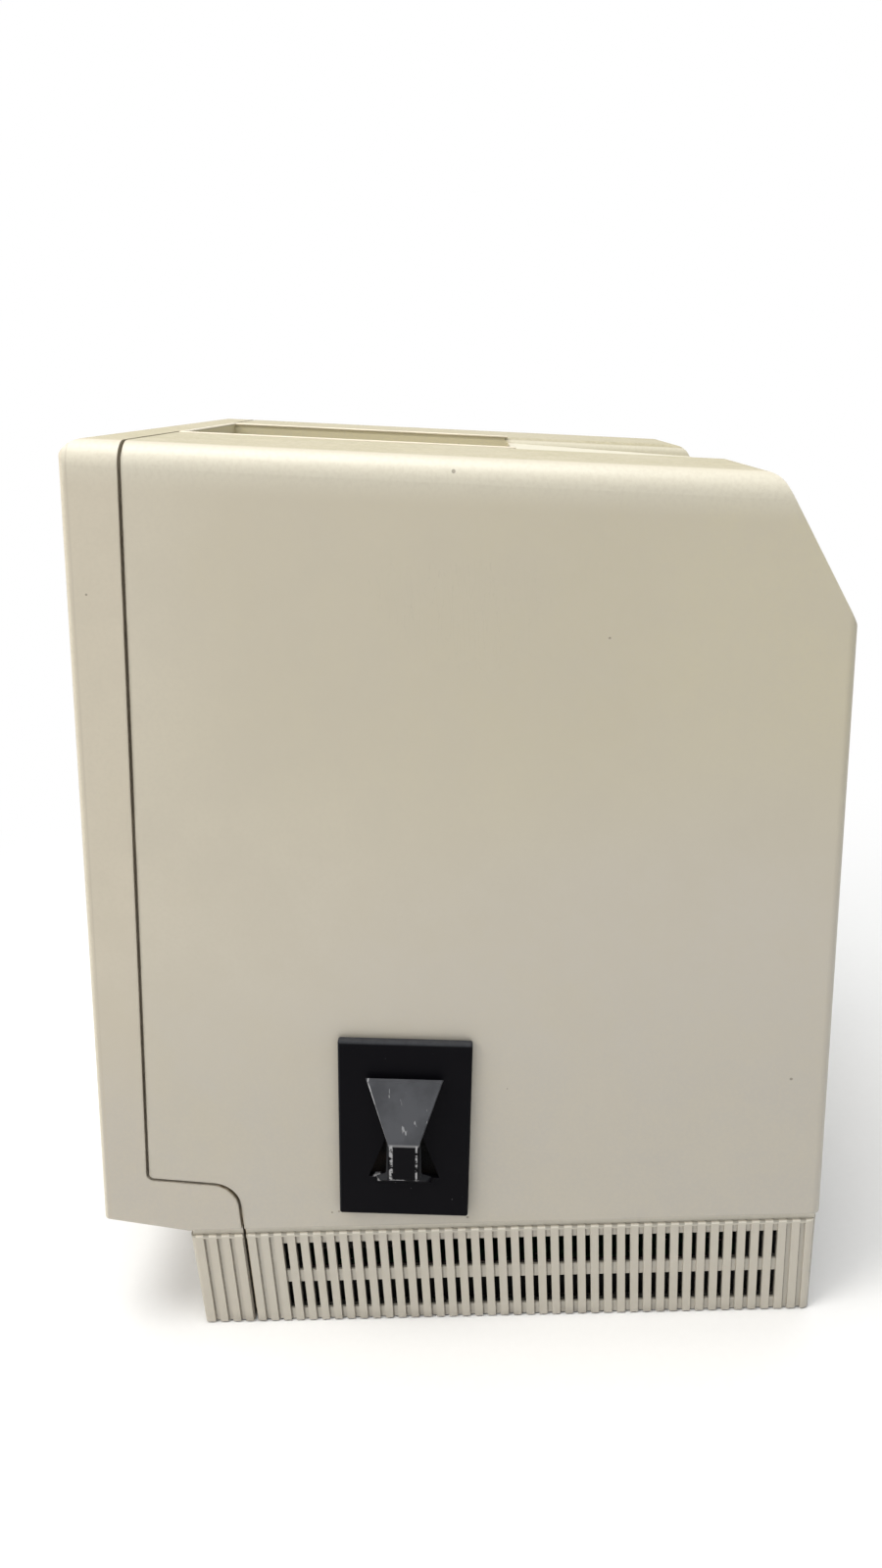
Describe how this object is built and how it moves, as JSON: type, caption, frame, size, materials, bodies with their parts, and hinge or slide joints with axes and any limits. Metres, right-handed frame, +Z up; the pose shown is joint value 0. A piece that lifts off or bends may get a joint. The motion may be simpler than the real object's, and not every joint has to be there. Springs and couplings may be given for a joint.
{
  "type": "compact desktop computer",
  "caption": "Compact all-in-one desktop computer: leaning front with screen, chamfered rear, carrying well in the top, ribbed and slotted base, dock plate on one side.",
  "frame": {"origin": "on the desk under the middle of the whole object, dock plate included", "axes": "+Z up, -Y out of the screen, +X to the side that carries the dock plate"},
  "size_m": [0.2532, 0.2774, 0.3453],
  "materials": {
    "case_beige": "fine moulded texture, aged",
    "dock_black": "black moulded plastic",
    "foam": "black adhesive foam",
    "screen_glass": "grey face glass, dark phosphor behind",
    "black_plastic": "black moulded plastic",
    "grey_plastic": "grey moulded plastic",
    "white_plastic": "light moulded plastic",
    "zinc_steel": "zinc plated sheet",
    "machined_steel": "turned steel",
    "cast_alloy": "cast, painted grey",
    "board_green": "solder mask over fibreglass",
    "board_tan": "paper laminate board",
    "chip_black": "moulded packages",
    "winding": "enamelled wire on a plastic former",
    "rubber": "soft black rubber",
    "cable_grey": "flat grey cable",
    "cable_red": "red high voltage lead",
    "sleeve_blue": "plastic sleeved can",
    "lens_red": "clear red lens"
  },
  "bodies": {
    "case": {"front_bezel": "case_beige", "rear_case": "case_beige", "picture_tube": "screen_glass", "rim_band": "zinc_steel", "tube_screws": "machined_steel", "deflection_yoke": "winding", "neck_board": "board_tan", "anode_cup": "rubber", "anode_lead": "cable_red", "flyback": "black_plastic", "chassis": "zinc_steel", "board_spacers": "white_plastic", "analog_board": "board_tan", "capacitors": "sleeve_blue", "heat_sink": "cast_alloy", "power_supply": "zinc_steel", "power_inlet": "black_plastic", "rocker_frame": "black_plastic", "fan_frame": "black_plastic", "drive_bracket": "zinc_steel", "hard_drive": "cast_alloy", "hard_drive_board": "board_green", "floppy_drive": "zinc_steel", "stepper_motor": "machined_steel", "logic_board": "board_green", "processor": "chip_black", "logic_chips": "chip_black", "memory_sockets": "white_plastic", "memory_modules": "board_green", "battery_holder": "black_plastic", "battery": "white_plastic", "board_headers": "black_plastic", "floppy_ribbon": "cable_grey", "drive_ribbon": "cable_grey", "power_harness": "cable_grey", "rear_connectors": "grey_plastic", "port_shield": "zinc_steel", "speaker": "black_plastic", "drive_light": "lens_red", "brightness_control": "grey_plastic", "expansion_cover": "case_beige", "case_screws": "machined_steel", "rubber_feet": "rubber", "dock_pad": "foam", "dock_plate": "dock_black"},
    "rocker": {"power_rocker": "black_plastic"},
    "fan": {"fan_rotor": "grey_plastic"},
    "wheel": {"brightness_wheel": "case_beige"},
    "spindle": {"floppy_spindle": "machined_steel"},
    "carriage": {"head_carriage": "cast_alloy"},
    "screw": {"lead_screw": "machined_steel"}
  },
  "joints": [
    {"name": "rocker_tilt", "type": "hinge", "parent": "case", "child": "rocker", "pos_m": [-0.0886, 0.13415, 0.111], "axis": [1, 0, 0], "range_deg": [0, 14]},
    {"name": "fan_spin", "type": "hinge", "parent": "case", "child": "fan", "pos_m": [-0.0805, 0.104, 0.1592], "axis": [0, 1, 0], "continuous": true},
    {"name": "brightness_turn", "type": "hinge", "parent": "case", "child": "wheel", "pos_m": [-0.0926, -0.122, 0.06208], "axis": [0, 1, 0], "range_deg": [-135, 135]},
    {"name": "spindle_spin", "type": "hinge", "parent": "case", "child": "spindle", "pos_m": [0.0474, -0.08, 0.08], "axis": [0, 0, 1], "continuous": true},
    {"name": "carriage_slide", "type": "slide", "parent": "case", "child": "carriage", "axis": [0, -1, 0], "range_m": [0, 0.015]},
    {"name": "screw_turn", "type": "hinge", "parent": "case", "child": "screw", "pos_m": [0.0694, -0.021, 0.084], "axis": [0, 1, 0], "range_deg": [0, 1800]}
  ],
  "couplings": [
    {"joint": "screw_turn", "follows": "carriage_slide", "rad_per_m": 2094.4}
  ]
}
